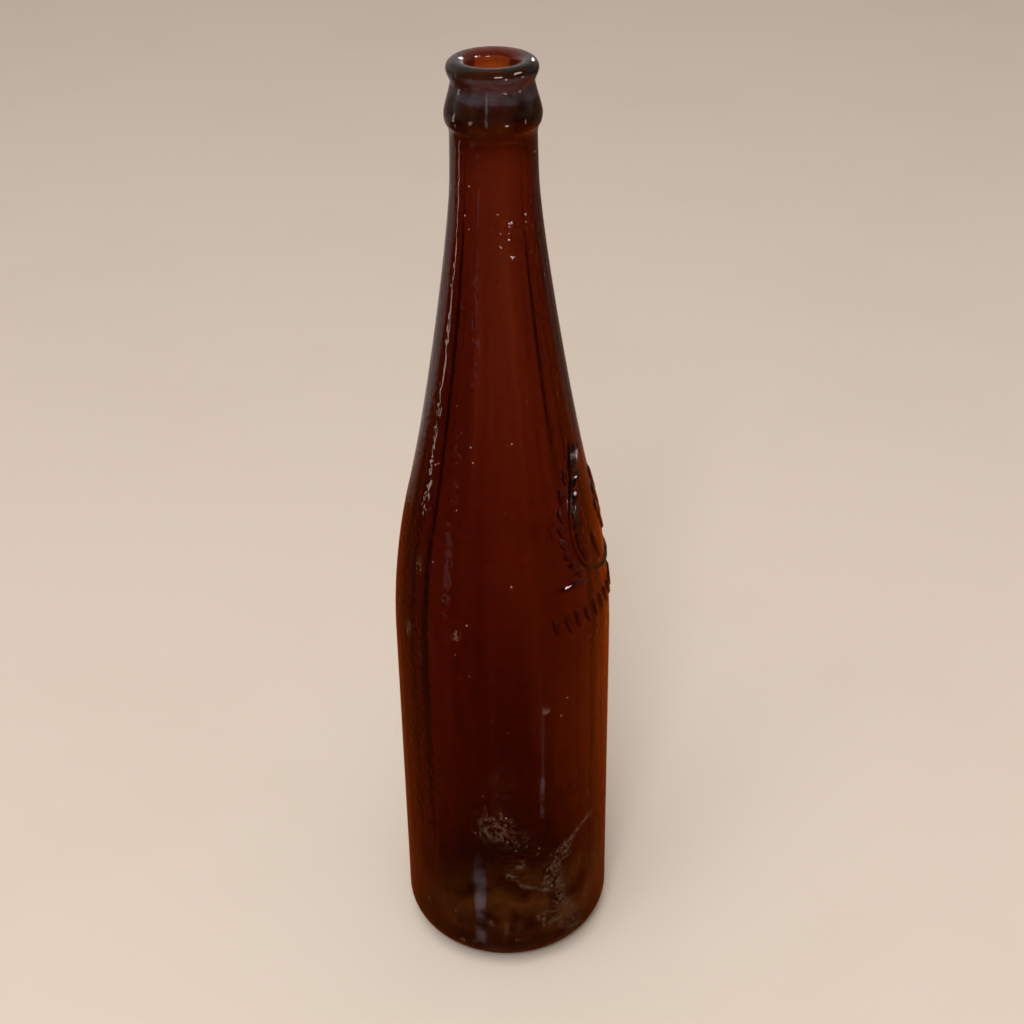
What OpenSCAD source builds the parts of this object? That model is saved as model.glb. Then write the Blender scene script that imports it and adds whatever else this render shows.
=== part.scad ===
// Long-neck beer bottle: one hollow piece of blown glass, open at the mouth, no cap or contents.
// Millimetres, +Z up the bottle's axis, origin at the centre of the ring it stands on.

/* [Body] */
// overall height, from the standing ring to the top of the lip
height = 320; // [305:5:335]
// outside diameter of the straight body
body_d = 72.4; // [70:0.2:75]
// height at which the body starts to turn in
shoulder_z = 127; // [118:1:132]
// height of the steepest point of the shoulder
flank_z = 181; // [176:1:188]
// outside diameter at the steepest point of the shoulder
flank_d = 59.2; // [57:0.2:61]
// lean of the wall at the steepest point, in degrees from upright
flank_angle = 13.8; // [12:0.2:15]

/* [Neck] */
// outside diameter at the foot of the neck
neck_d = 26.3; // [25.6:0.1:26.8]
// outside diameter just under the finish
neck_top_d = 25.7; // [25.2:0.1:26]
// length of the near-straight neck, down from the finish
neck_length = 12; // [8:1:20]

/* [Finish] */
// height of the whole crown finish
finish_h = 21; // [20.2:0.2:23]
// diameter of the crown lip
lip_d = 26.6; // [26.4:0.1:26.8]
// diameter of the groove under the lip
groove_d = 24.3; // [23.9:0.1:24.6]
// diameter of the ring at the foot of the skirt
ring_d = 28.6; // [28:0.1:29.4]
// diameter of the bore at the mouth
bore_d = 14.6; // [14.2:0.2:16]

/* [Glass] */
// wall thickness of the body
body_wall = 4.2; // [3:0.1:4.6]
// wall thickness of the neck
neck_wall = 3.3; // [3:0.1:3.8]
// glass thickness at the middle of the base
base_t = 6; // [4:0.5:8]

/* [Base] */
// radius of the rounded heel
heel_r = 12.8; // [10:0.2:14]
// width of the flat ring the bottle stands on
foot_w = 3.4; // [2:0.2:5]
// rise of the hollow under the base
push_up = 5; // [3:0.5:8]
// radius of the inside corner at the foot of the wall
floor_corner_r = 9; // [6:0.5:11]

/* [Relief] */
// how far the ornament stands out from the wall
relief = 0.8; // [0.4:0.1:1]
// height of the middle of the row of leaning grains
row_z = 144.5; // [142:0.5:147]
// height of the row of leaning grains
row_h = 8.6; // [7:0.2:9.6]
// number of grains in the row
row_grains = 18; // [12:2:20]
// arc the row covers, in degrees
row_arc = 128; // [110:2:134]
// pairs of grains in each barley ear
grain_pairs = 8; // [5:1:8]

/* [Hidden] */
$fn = 96;

glass_tint = [0.30, 0.09, 0.03];
body_r = body_d / 2;
lip_r = lip_d / 2;
groove_r = groove_d / 2;
ring_r = ring_d / 2;
bore_r = bore_d / 2;
neck_r = neck_d / 2;
neck_top_r = neck_top_d / 2;
inner_r = body_r - body_wall;

// lengths of the curve handles that shape the shoulder and the flare into the neck
shoulder_pull = 20.5;
flank_pull_low = 13.4;
flank_pull_high = 25.4;
neck_pull = 15;

// the crown finish, measured down from the top
lip_round = 2.7;
mouth_round = 3;
groove_drop = 6.6;
ring_drop = 15.4;
ring_under = 3.3;
ring_ledge = 0.5;
bore_depth = 15;
bore_blend = 13;
bore_foot_z = height - bore_depth - bore_blend;

finish_z = height - finish_h;
neck_z = finish_z - neck_length;
ring_z = height - ring_drop;
groove_z = height - groove_drop;
lip_z = height - lip_round;
foot_r = body_r - heel_r;
hollow_r = foot_r - foot_w;
// how far the foot of the floor lies below the even base
floor_dip = 1.5;
floor_edge_z = push_up / 2 + base_t - floor_dip;
floor_mid_z = push_up + base_t;

// how many straight steps stand for each curve
shoulder_steps = 14;
flare_steps = 24;
heel_steps = 12;
base_steps = 8;
small_steps = 6;

// ornament: how deep it is rooted in the wall, where its parts start, and its drawing sizes
root = 1.2;
reach = 12;
wreath_turn = 32;
grain_l = 6.2;
grain_w = 2.9;
grain_lean = 26;
grain_off = 1.75;
ear_start = 0.44;
ear_tip = 0.96;
awn_l = 13;
awn_w = 1.1;
awn_spread = 15;
stem_w = 1.5;
stem_parts = 9;
row_grain_w = 2.6;
row_lean = 22;
// the curve one ear of barley follows, across and up
ear = [[19, 156], [2, 152.5], [-17, 165], [-1, 193]];
// the two leaves of each stem: foot across and up, length, width, turn
leaves = [[-1.5, 156.5, 15.5, 3.4, 176], [8, 158.5, 14, 3.2, 112]];
// the hop cone between the ears: how many scales stand in each row, bottom to top
hop_rows = [1, 2, 3, 2, 1];
hop_z = 163;
hop_pitch = 4.6;
scale_l = 6.2;
scale_w = 4.1;
scale_gap = 0.7;

function mix(a, b, t) = a + (b - a) * t;
function ease(t) = t * t * (3 - 2 * t);

// point at t on the curve from a to d pulled towards b and c
function bend(a, b, c, d, t) =
    a * pow(1 - t, 3) + b * 3 * t * pow(1 - t, 2) + c * 3 * t * t * (1 - t) + d * pow(t, 3);

function bend_run(a, b, c, d, n) = [for (i = [1:n]) bend(a, b, c, d, i / n)];

// points on an arc about [cr, cz] with half axes ar and az, from angle a0 to a1
function arc_run(cr, cz, ar, az, a0, a1, n) =
    [for (i = [0:n]) let (a = mix(a0, a1, i / n)) [cr + ar * cos(a), cz + az * sin(a)]];

// a shallow dome from the axis at z_mid out towards radius r at z_edge, without its rim
function dome_run(r, z_mid, z_edge, n) =
    [for (i = [0:n - 1]) [r * i / n, mix(z_mid, z_edge, pow(i / n, 2))]];

function reversed(list) = [for (i = [len(list) - 1:-1:0]) list[i]];

// outside of the shoulder, flare and neck, from the top of the body to the finish
flank = [flank_d / 2, flank_z];
flank_dir = [-tan(flank_angle), 1];
shoulder = bend_run(
    [body_r, shoulder_z], [body_r, shoulder_z + shoulder_pull],
    flank - flank_dir * flank_pull_low, flank, shoulder_steps);
flare = bend_run(
    flank, flank + flank_dir * flank_pull_high,
    [neck_r, neck_z - neck_pull], [neck_r, neck_z], flare_steps);
upper = concat([[body_r, shoulder_z]], shoulder, flare);
upper_by_z = [for (p = upper) [p[1], p[0]]];
function upper_r(z) = lookup(z, upper_by_z);

// outside of the crown finish, bottom to top
finish = concat(
    [[neck_top_r, finish_z]],
    arc_run(neck_top_r + ring_ledge, ring_z,
        ring_r - neck_top_r - ring_ledge, ring_under, -90, 0, small_steps),
    [for (i = [0:small_steps - 1]) let (t = i / small_steps)
        [mix(groove_r, lip_r, ease(t)), mix(groove_z, lip_z, t)]],
    arc_run(lip_r - lip_round, lip_z, lip_round, lip_round, 0, 90, small_steps));

// whole outside, from the middle of the base up to the lip
outside = concat(
    dome_run(hollow_r, push_up, 0, base_steps),
    [[hollow_r, 0]],
    arc_run(foot_r, heel_r, heel_r, heel_r, -90, 0, heel_steps),
    upper,
    finish);

// whole inside, from the middle of the floor up to the mouth
function wall_at(z) = mix(body_wall, neck_wall, (z - shoulder_z) / (neck_z - shoulder_z));
bore_foot_r = neck_top_r - neck_wall;
inside = concat(
    dome_run(inner_r - floor_corner_r, floor_mid_z, floor_edge_z, base_steps),
    arc_run(inner_r - floor_corner_r, floor_edge_z + floor_corner_r,
        floor_corner_r, floor_corner_r, -90, 0, small_steps),
    [for (p = upper) [p[0] - wall_at(p[1]), p[1]]],
    [for (i = [0:small_steps]) let (t = i / small_steps)
        [mix(bore_foot_r, bore_r, ease(t)), bore_foot_z + bore_blend * t]],
    arc_run(bore_r + mouth_round, height - mouth_round,
        mouth_round, mouth_round, 180, 90, small_steps));

module wall() {
    rotate_extrude() polygon(concat(outside, reversed(inside)));
}

// pointed oval from [0, 0] to [long, 0]
module oval(long, wide) {
    r = (long * long + wide * wide) / (4 * wide);
    translate([long / 2, 0]) intersection() {
        translate([0, r - wide / 2]) circle(r);
        translate([0, wide / 2 - r]) circle(r);
    }
}

function ear_point(t) = bend(ear[0], ear[1], ear[2], ear[3], t);
function ear_turn(t) = let (d = ear_point(t + 0.01) - ear_point(t)) atan2(d[1], d[0]);

// one ear of barley on its stem, with two leaves
module ear_2d() {
    for (i = [0:stem_parts - 1]) {
        from = ear_point(i / stem_parts * ear_tip);
        to = ear_point((i + 1) / stem_parts * ear_tip);
        translate(from) rotate(atan2(to[1] - from[1], to[0] - from[0]))
            translate([-stem_w / 4, -stem_w / 2]) square([norm(to - from) + stem_w / 2, stem_w]);
    }
    for (i = [0:grain_pairs - 1], side = [-1, 1]) {
        t = mix(ear_start, ear_tip, i / (grain_pairs - 1));
        translate(ear_point(t)) rotate(ear_turn(t)) translate([0, side * grain_off])
            rotate(side * grain_lean) oval(grain_l, grain_w);
    }
    for (side = [-1, 0, 1])
        translate(ear_point(ear_tip)) rotate(ear_turn(ear_tip) + side * awn_spread) oval(awn_l, awn_w);
    for (leaf = leaves)
        translate([leaf[0], leaf[1]]) rotate(leaf[4]) oval(leaf[2], leaf[3]);
}

// a hop cone made of rows of standing scales
module hop_2d() {
    for (row = [0:len(hop_rows) - 1], i = [0:hop_rows[row] - 1])
        translate([(i - (hop_rows[row] - 1) / 2) * (scale_w + scale_gap), hop_z + row * hop_pitch])
            rotate(90) oval(scale_l, scale_w);
}

// one grain of the row, centred at [0, 0] and leaning by the given angle
module row_grain_2d(lean) {
    long = row_h / cos(lean);
    rotate(90 - lean) translate([-long / 2, 0]) oval(long, row_grain_w);
}

// carries a drawing (across, up) out through the wall on the side facing angle az
module stamp(az) {
    rotate([0, 0, az]) translate([reach, 0, 0]) rotate([90, 0, 90])
        linear_extrude(body_r + 2 * relief - reach) children();
}

// the layer that the ornament stands in: from inside the wall to the top of the relief
module relief_layer(z_low, z_high) {
    run = concat(
        [[upper_r(z_low), z_low]],
        [for (p = upper) if (p[1] > z_low && p[1] < z_high) p],
        [[upper_r(z_high), z_high]]);
    rotate_extrude() polygon(concat(
        [for (p = run) [p[0] + relief, p[1]]],
        reversed([for (p = run) [p[0] - root, p[1]]])));
}

module ornament() {
    step = row_arc / row_grains;
    stamp(wreath_turn) mirror([1, 0]) ear_2d();
    stamp(-wreath_turn) ear_2d();
    stamp(0) hop_2d();
    for (i = [0:row_grains / 2 - 1], side = [-1, 1])
        stamp(side * (i + 0.5) * step) translate([0, row_z]) row_grain_2d(side * row_lean);
}

module bottle() {
    color(glass_tint) union() {
        wall();
        intersection() {
            relief_layer(row_z - row_h, ear[3][1] + awn_l + grain_l);
            ornament();
        }
    }
}

bottle();
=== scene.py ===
"""Visual model and studio for a tall crown-top beer bottle of dark red-brown glass, empty and uncapped."""

import logging
import math
from dataclasses import dataclass, field
from enum import Enum
from functools import reduce
from typing import ClassVar, NamedTuple

import bmesh
import bpy
import numpy as np
from mathutils import Matrix, Vector


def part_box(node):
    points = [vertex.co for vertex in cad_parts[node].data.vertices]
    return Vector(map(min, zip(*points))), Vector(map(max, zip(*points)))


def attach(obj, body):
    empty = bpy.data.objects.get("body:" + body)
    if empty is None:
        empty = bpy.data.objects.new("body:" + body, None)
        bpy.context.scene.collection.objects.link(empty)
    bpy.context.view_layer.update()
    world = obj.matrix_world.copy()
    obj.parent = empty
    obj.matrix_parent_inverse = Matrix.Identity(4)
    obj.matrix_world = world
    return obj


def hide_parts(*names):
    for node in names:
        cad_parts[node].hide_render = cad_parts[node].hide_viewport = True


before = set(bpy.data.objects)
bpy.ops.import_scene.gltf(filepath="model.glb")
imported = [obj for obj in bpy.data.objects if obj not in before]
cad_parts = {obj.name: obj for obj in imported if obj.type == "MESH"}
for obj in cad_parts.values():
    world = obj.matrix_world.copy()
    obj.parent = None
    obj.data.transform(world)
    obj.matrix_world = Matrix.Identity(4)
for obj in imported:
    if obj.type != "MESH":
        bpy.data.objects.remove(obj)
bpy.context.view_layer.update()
LOG = logging.getLogger("bottle")
SEED = 21
# how far the visual glass stays inside the solid, in metres
SKIN = 0.00005
# how close two points of an outline are to become one, in metres
MERGE = 1e-6
FULL_TURN = 360.0
# how far each side of the ornament's middle is kept free of dirt, in degrees
BARE_HALF = 67.0

Point = tuple[float, float]
Colour = tuple[float, float, float, float]
WHITE: Colour = (1.0, 1.0, 1.0, 1.0)


class Spots(NamedTuple):
    """Places on the bottle: angles round it in radians, radii in metres and heights in metres."""

    turn: np.ndarray
    r: np.ndarray
    z: np.ndarray


# ---------------------------------------------------------------- curves and small maths


def mix(a: float, b: float, t: float) -> float:
    """The value at t on the way from a to b."""
    return a + (b - a) * t


def ease(t: float) -> float:
    """A soft step: 0 to 1 with level ends."""
    return t * t * (3 - 2 * t)


def soft_step(low: float, high: float, value: np.ndarray) -> np.ndarray:
    """A soft step from 0 at low to 1 at high.

    Args:
        low: Value where the step starts.
        high: Value where the step is complete.
        value: Values to step.

    Returns:
        The stepped values, from 0 to 1.
    """
    t = np.clip((value - low) / (high - low), 0.0, 1.0)
    return t * t * (3 - 2 * t)


def turn_from(turn: np.ndarray, centre: float) -> np.ndarray:
    """Angles in radians, measured the short way from an angle in degrees."""
    return np.angle(np.exp(1j * (turn - math.radians(centre))))


def bend(a: Point, b: Point, c: Point, d: Point, t: float) -> Point:
    """The point at t on the curve from a to d that is pulled towards b and c.

    Args:
        a: Start of the curve.
        b: First handle.
        c: Second handle.
        d: End of the curve.
        t: How far along, from 0 to 1.

    Returns:
        The point.
    """
    weights = ((1 - t) ** 3, 3 * t * (1 - t) ** 2, 3 * t * t * (1 - t), t**3)
    x, y = (sum(w * p[axis] for w, p in zip(weights, (a, b, c, d))) for axis in (0, 1))
    return x, y


def bend_run(a: Point, b: Point, c: Point, d: Point, count: int) -> list[Point]:
    """Points along a pulled curve, without its first point.

    Args:
        a: Start of the curve.
        b: First handle.
        c: Second handle.
        d: End of the curve.
        count: Number of points.

    Returns:
        The points, ending at d.
    """
    return [bend(a, b, c, d, i / count) for i in range(1, count + 1)]


def arc_run(centre: Point, half: Point, start: float, stop: float, count: int) -> list[Point]:
    """Points on an arc of an ellipse.

    Args:
        centre: Middle of the ellipse.
        half: Its half axes.
        start: First angle in degrees.
        stop: Last angle in degrees.
        count: Number of steps.

    Returns:
        The points, both ends included.
    """
    turns = [math.radians(mix(start, stop, i / count)) for i in range(count + 1)]
    return [(centre[0] + half[0] * math.cos(a), centre[1] + half[1] * math.sin(a)) for a in turns]


def heights(low: float, high: float, step: float) -> list[float]:
    """Evenly spaced heights after low, up to and with high, about step apart."""
    count = max(1, round((high - low) / step))
    return [mix(low, high, i / count) for i in range(1, count + 1)]


# ---------------------------------------------------------------- the bottle's form


@dataclass
class BottleForm:
    """Sizes of the bottle, in metres, and the outlines that follow from them.

    The overall height and the body's radius come from the frame, so the form always fits the solid.
    """

    height: float
    body_r: float
    shoulder_z: float = 0.127
    shoulder_pull: float = 0.0205
    flank_z: float = 0.181
    flank_r: float = 0.0296
    flank_lean: float = math.tan(math.radians(13.8))
    flank_pull_low: float = 0.0134
    flank_pull_high: float = 0.0254
    neck_r: float = 0.01315
    neck_top_r: float = 0.01285
    neck_pull: float = 0.015
    neck_length: float = 0.012
    finish_h: float = 0.021
    lip_r: float = 0.0133
    lip_round: float = 0.0027
    mouth_round: float = 0.003
    groove_r: float = 0.01215
    groove_drop: float = 0.0066
    ring_r: float = 0.0143
    ring_drop: float = 0.0154
    ring_under: float = 0.0033
    ring_ledge: float = 0.0005
    bore_r: float = 0.0073
    bore_depth: float = 0.015
    bore_blend: float = 0.013
    body_wall: float = 0.0042
    neck_wall: float = 0.0033
    heel_r: float = 0.0128
    foot_w: float = 0.0034
    push_up: float = 0.005
    push_up_curve: float = 1.6
    base_t: float = 0.006
    floor_curve: float = 1.5
    floor_edge_drop: float = 0.0015
    floor_corner_r: float = 0.009
    body_step: float = 0.005
    inner_step: float = 0.0045
    step: float = 0.003
    relief_low: float = 0.1365
    relief_high: float = 0.213
    relief_step: float = 0.0018
    _upper: tuple[np.ndarray, np.ndarray] = field(init=False, repr=False)

    def __post_init__(self) -> None:
        """Works out the curve of the shoulder and the flare once, for outer_radius."""
        flank = (self.flank_r, self.flank_z)
        low, high = self.flank_pull_low, self.flank_pull_high
        run = [(self.body_r, 0.0), (self.body_r, self.shoulder_z)]
        run += bend_run(
            run[1],
            (self.body_r, self.shoulder_z + self.shoulder_pull),
            (self.flank_r + self.flank_lean * low, self.flank_z - low),
            flank,
            200,
        )
        run += bend_run(
            flank,
            (self.flank_r - self.flank_lean * high, self.flank_z + high),
            (self.neck_r, self.neck_z - self.neck_pull),
            (self.neck_r, self.neck_z),
            300,
        )
        run.append((self.neck_top_r, self.finish_z))
        self._upper = (np.array([p[1] for p in run]), np.array([p[0] for p in run]))

    @property
    def finish_z(self) -> float:
        """Height where the neck ends and the crown finish starts."""
        return self.height - self.finish_h

    @property
    def neck_z(self) -> float:
        """Height of the foot of the neck."""
        return self.finish_z - self.neck_length

    @property
    def inner_r(self) -> float:
        """Inside radius of the body."""
        return self.body_r - self.body_wall

    @property
    def foot_r(self) -> float:
        """Outer radius of the ring the bottle stands on."""
        return self.body_r - self.heel_r

    def outer_radius(self, z: np.ndarray | float) -> np.ndarray:
        """Outside radius of the body, shoulder and neck at a height, between the heel and the finish."""
        return np.interp(z, *self._upper)

    def wall_at(self, z: np.ndarray | float) -> np.ndarray:
        """Wall thickness at a height."""
        return np.interp(z, (self.shoulder_z, self.neck_z), (self.body_wall, self.neck_wall))

    def by_ornament(self, turn: float, z: float, half: float) -> bool:
        """Whether an angle in radians and a height lie within half degrees of the ornament's middle."""
        return self.relief_low < z < self.relief_high and abs(math.degrees(turn)) < half

    def heel_run(self, count: int) -> list[Point]:
        """Outline of the round heel, from the foot up to the straight wall, in count steps."""
        return arc_run((self.foot_r, self.heel_r), (self.heel_r, self.heel_r), -90, 0, count)

    def finish_run(self) -> list[Point]:
        """Outline of the crown finish, from the neck up to the top of the lip.

        Returns:
            Points as (radius, height).
        """
        ring_z = self.height - self.ring_drop
        groove_z = self.height - self.groove_drop
        lip_z = self.height - self.lip_round
        foot = self.neck_top_r + self.ring_ledge
        # the skirt narrows almost straight, easing a little at both ends
        rise = [(mix(self.ring_r, self.groove_r, ease(t) * 0.35 + t * 0.65), mix(ring_z, groove_z, t))
                for t in (0.04, 0.12, 0.25, 0.4, 0.55, 0.7, 0.82, 0.92, 1.0)]
        bead = [(mix(self.groove_r, self.lip_r, ease(t)), mix(groove_z, lip_z, t))
                for t in (i / 10 for i in range(1, 11))]
        return (
            arc_run((foot, ring_z), (self.ring_r - foot, self.ring_under), -90, -8, 9)
            + rise
            + bead
            + arc_run((self.lip_r - self.lip_round, lip_z), (self.lip_round, self.lip_round), 9, 90, 10)
        )

    def outside(self) -> list[Point]:
        """Outline of the outside, from the middle of the base up to the top of the lip.

        Returns:
            Points as (radius, height).
        """
        hollow_r = self.foot_r - self.foot_w
        hollow = [(hollow_r * t, self.push_up * (1 - t * t) ** self.push_up_curve)
                  for t in np.linspace(0, 1, 13)]
        levels: list[float] = []
        for low, high, step in (
            (self.heel_r, self.shoulder_z, self.body_step),
            (self.shoulder_z, self.relief_low, self.step),
            (self.relief_low, self.relief_high, self.relief_step),
            (self.relief_high, self.neck_z, self.step),
            (self.neck_z, self.finish_z, self.step),
        ):
            levels += heights(low, high, step)
        wall = [(float(self.outer_radius(z)), z) for z in levels]
        return hollow + self.heel_run(20) + wall + self.finish_run()

    def inside(self) -> list[Point]:
        """Outline of the inside, from the mouth down to the middle of the floor.

        Returns:
            Points as (radius, height).
        """
        blend_z = self.height - self.bore_depth - self.bore_blend
        blend_r = self.neck_top_r - self.neck_wall
        mouth = arc_run(
            (self.bore_r + self.mouth_round, self.height - self.mouth_round),
            (self.mouth_round, self.mouth_round), 90, 180, 9)
        bore = [(mix(self.bore_r, blend_r, ease(t)), mix(self.height - self.bore_depth, blend_z, t))
                for t in np.linspace(0, 1, 6)]
        edge_z = self.push_up / 2 + self.base_t - self.floor_edge_drop
        corner_z = edge_z + self.floor_corner_r
        down = reversed([corner_z] + heights(corner_z, blend_z - self.step, self.inner_step))
        wall = [(float(self.outer_radius(z) - self.wall_at(z)), z) for z in down]
        corner_x = self.inner_r - self.floor_corner_r
        corner = arc_run((corner_x, corner_z), (self.floor_corner_r, self.floor_corner_r), 0, -84, 10)[1:]
        rise = self.push_up + self.base_t - edge_z
        floor = [(corner_x * t, edge_z + rise * (1 - t * t) ** self.floor_curve)
                 for t in np.linspace(0.94, 0, 9)]
        return mouth + bore + wall + corner + floor


# ---------------------------------------------------------------- raised ornament


class Bulge(Enum):
    """How a raised shape swells across its width."""

    ROUND = "round"
    CREASED = "creased"
    SCALE = "scale"


@dataclass(frozen=True)
class Oval:
    """A pointed oval on the wall.

    Attributes:
        facing: Angle round the bottle, in degrees, that the drawing faces.
        across: Foot of the oval, sideways from that angle, in metres.
        up: Foot of the oval above the floor, in metres.
        turn: Direction it points in, in degrees from sideways.
        length: Its length in metres.
        width: Its width in metres.
        bulge: How it swells.
    """

    facing: float
    across: float
    up: float
    turn: float
    length: float
    width: float
    bulge: Bulge = Bulge.ROUND
    # the rounded edge: its share of the width, its most, and how far it stands out of the outline, in metres
    EDGE_SHARE: ClassVar[float] = 0.36
    EDGE_MOST: ClassVar[float] = 0.0010
    EDGE_OUT: ClassVar[float] = 0.00012
    # the crease: its depth as a share, its half width in metres, and how far up the edge it starts
    CREASE_DEPTH: ClassVar[float] = 0.3
    CREASE_HALF: ClassVar[float] = 0.00028
    CREASE_FROM: ClassVar[float] = 0.6

    def height(self, x: np.ndarray, z: np.ndarray) -> np.ndarray:
        """How far the oval is raised, from 0 to 1, at points of its drawing.

        Args:
            x: Sideways places in metres.
            z: Heights in metres.

        Returns:
            The raised fraction at each point.
        """
        c, s = math.cos(math.radians(self.turn)), math.sin(math.radians(self.turn))
        along = (x - self.across) * c + (z - self.up) * s
        beside = -(x - self.across) * s + (z - self.up) * c
        half = self.length / 2
        radius = (self.length**2 + self.width**2) / (4 * self.width)
        offset = radius - self.width / 2
        qx, qy = np.abs(along - half), np.abs(beside)
        tip = (qx - half) * offset > qy * half
        gap = np.where(tip, np.hypot(qx - half, qy), np.hypot(qx, qy + offset) - radius)
        shoulder = min(self.EDGE_SHARE * self.width, self.EDGE_MOST)
        t = np.clip((self.EDGE_OUT - gap) / shoulder, 0.0, 1.0)
        raised = (1 - np.cos(math.pi * t)) / 2
        if self.bulge is Bulge.CREASED:
            crease = np.exp(-((beside / self.CREASE_HALF) ** 2)) * (t > self.CREASE_FROM)
            raised = raised - self.CREASE_DEPTH * crease * t
        if self.bulge is Bulge.SCALE:
            raised = raised * (0.5 + 0.5 * np.clip(1 - along / self.length, 0.0, 1.0))
        return raised


@dataclass
class Ornament:
    """Two ears of barley round a hop cone, over a row of leaning grains, raised on the shoulder."""

    relief: float = 0.0008
    wreath_turn: float = 32.0
    grain: Point = (0.0062, 0.0029)
    grain_lean: float = 26.0
    grain_off: float = 0.00175
    grain_pairs: int = 8
    ear_start: float = 0.44
    ear_end: float = 0.95
    awn: Point = (0.013, 0.0011)
    awn_from: float = 0.97
    awn_lean: float = 15.0
    stem_w: float = 0.0015
    stem_end: float = 0.98
    stem_steps: int = 24
    ear: tuple[Point, ...] = ((0.019, 0.156), (0.002, 0.1525), (-0.017, 0.165), (-0.001, 0.193))
    leaves: tuple[tuple[float, ...], ...] = (
        (-0.0015, 0.1565, 0.0155, 0.0034, 176.0),
        (0.008, 0.1585, 0.014, 0.0032, 112.0),
    )
    hop_rows: tuple[int, ...] = (1, 2, 3, 2, 1)
    hop_z: float = 0.163
    hop_pitch: float = 0.0046
    scale: Point = (0.0062, 0.0041)
    scale_gap: float = 0.0007
    row_z: float = 0.1445
    row_h: float = 0.0086
    row_w: float = 0.0026
    row_lean: float = 22.0
    row_grains: int = 18
    row_arc: float = 128.0
    ovals: list[Oval] = field(init=False, repr=False)
    stems: list[tuple[float, Point, Point]] = field(init=False, repr=False)

    def __post_init__(self) -> None:
        """Lays out every oval and stem."""
        self.ovals = self._hop() + self._row()
        self.stems = []
        for side in (-1, 1):
            self.ovals += self._ear(side)
            points = [bend(*self.ear, self.stem_end * i / self.stem_steps)
                      for i in range(self.stem_steps + 1)]
            self.stems += [
                (side * self.wreath_turn, (-side * a[0], a[1]), (-side * b[0], b[1]))
                for a, b in zip(points, points[1:])
            ]

    def _ear(self, side: int) -> list[Oval]:
        """The grains, awns and leaves of one ear.

        Args:
            side: -1 or 1, which half of the wreath.

        Returns:
            The ovals.
        """
        facing = side * self.wreath_turn

        def place(t: float, shift: float, lean: float, size: Point, bulge: Bulge) -> Oval:
            """One oval beside the stem.

            Args:
                t: How far along the stem, from 0 to 1.
                shift: How far it stands off the stem, in metres.
                lean: How far it leans from the stem, in degrees.
                size: Its length and width.
                bulge: How it swells.

            Returns:
                The oval.
            """
            x, z = bend(*self.ear, t)
            ahead = bend(*self.ear, t + 0.01)
            turn = math.atan2(ahead[1] - z, ahead[0] - x)
            x, z = x - shift * math.sin(turn), z + shift * math.cos(turn)
            out = math.degrees(turn) + lean
            return Oval(facing, -side * x, z, out if side < 0 else 180 - out, *size, bulge)

        made = []
        for i in range(self.grain_pairs):
            t = mix(self.ear_start, self.ear_end, i / (self.grain_pairs - 1))
            for wing in (-1, 1):
                shift, lean = wing * self.grain_off, wing * self.grain_lean
                made.append(place(t, shift, lean, self.grain, Bulge.CREASED))
        for wing in (-1, 0, 1):
            made.append(place(self.awn_from, 0.0, wing * self.awn_lean, self.awn, Bulge.ROUND))
        for x, z, length, width, turn in self.leaves:
            out = turn if side < 0 else 180 - turn
            made.append(Oval(facing, -side * x, z, out, length, width, Bulge.CREASED))
        return made

    def _hop(self) -> list[Oval]:
        """The scales of the hop cone, row by row.

        Returns:
            The ovals.
        """
        made = []
        for row, count in enumerate(self.hop_rows):
            up = self.hop_z + row * self.hop_pitch
            for i in range(count):
                across = (i - (count - 1) / 2) * (self.scale[1] + self.scale_gap)
                made.append(Oval(0.0, across, up, 90.0, *self.scale, Bulge.SCALE))
        return made

    def _row(self) -> list[Oval]:
        """The row of grains that lean away from the middle of the wreath.

        Returns:
            The ovals.
        """
        length = self.row_h / math.cos(math.radians(self.row_lean))
        step = self.row_arc / self.row_grains
        made = []
        for side in (-1, 1):
            turn = 90.0 - side * self.row_lean
            across = -length / 2 * math.cos(math.radians(turn))
            up = self.row_z - length / 2 * math.sin(math.radians(turn))
            for i in range(self.row_grains // 2):
                made.append(Oval(side * (i + 0.5) * step, across, up, turn, length, self.row_w))
        return made

    def raised(self, at: Spots) -> np.ndarray:
        """How far the ornament stands out of the wall.

        Args:
            at: Places on the wall.

        Returns:
            The relief at each place in metres.
        """
        turn, r, z = at
        best = np.zeros_like(z)
        for oval in self.ovals:
            off = turn - math.radians(oval.facing)
            near = (np.cos(off) > 0.5) & (np.abs(z - oval.up) < oval.length * 1.1)
            best[near] = np.maximum(best[near], oval.height(r[near] * np.sin(off[near]), z[near]))
        for facing, a, b in self.stems:
            off = turn - math.radians(facing)
            near = (np.cos(off) > 0.5) & (np.abs(z - a[1]) < 0.004)
            x, up = r[near] * np.sin(off[near]) - a[0], z[near] - a[1]
            dx, dz = b[0] - a[0], b[1] - a[1]
            t = np.clip((x * dx + up * dz) / (dx * dx + dz * dz), 0.0, 1.0)
            gap = np.hypot(x - t * dx, up - t * dz) / (self.stem_w / 2)
            best[near] = np.maximum(best[near], (1 + np.cos(math.pi * np.clip(gap, 0.0, 1.0))) / 2)
        return best * self.relief


# ---------------------------------------------------------------- surface of old glass


# a wave's strength, its count round the bottle, the height it climbs in a radian, and its start in radians
Wave = tuple[float, float, float, float]


def winding(waves: tuple[Wave, ...], at: Spots) -> np.ndarray:
    """The sum of sine waves that wind round the bottle, at each place."""
    return sum(
        strength * np.sin(count * at.turn + at.z / climb + start)
        for strength, count, climb, start in waves)


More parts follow.
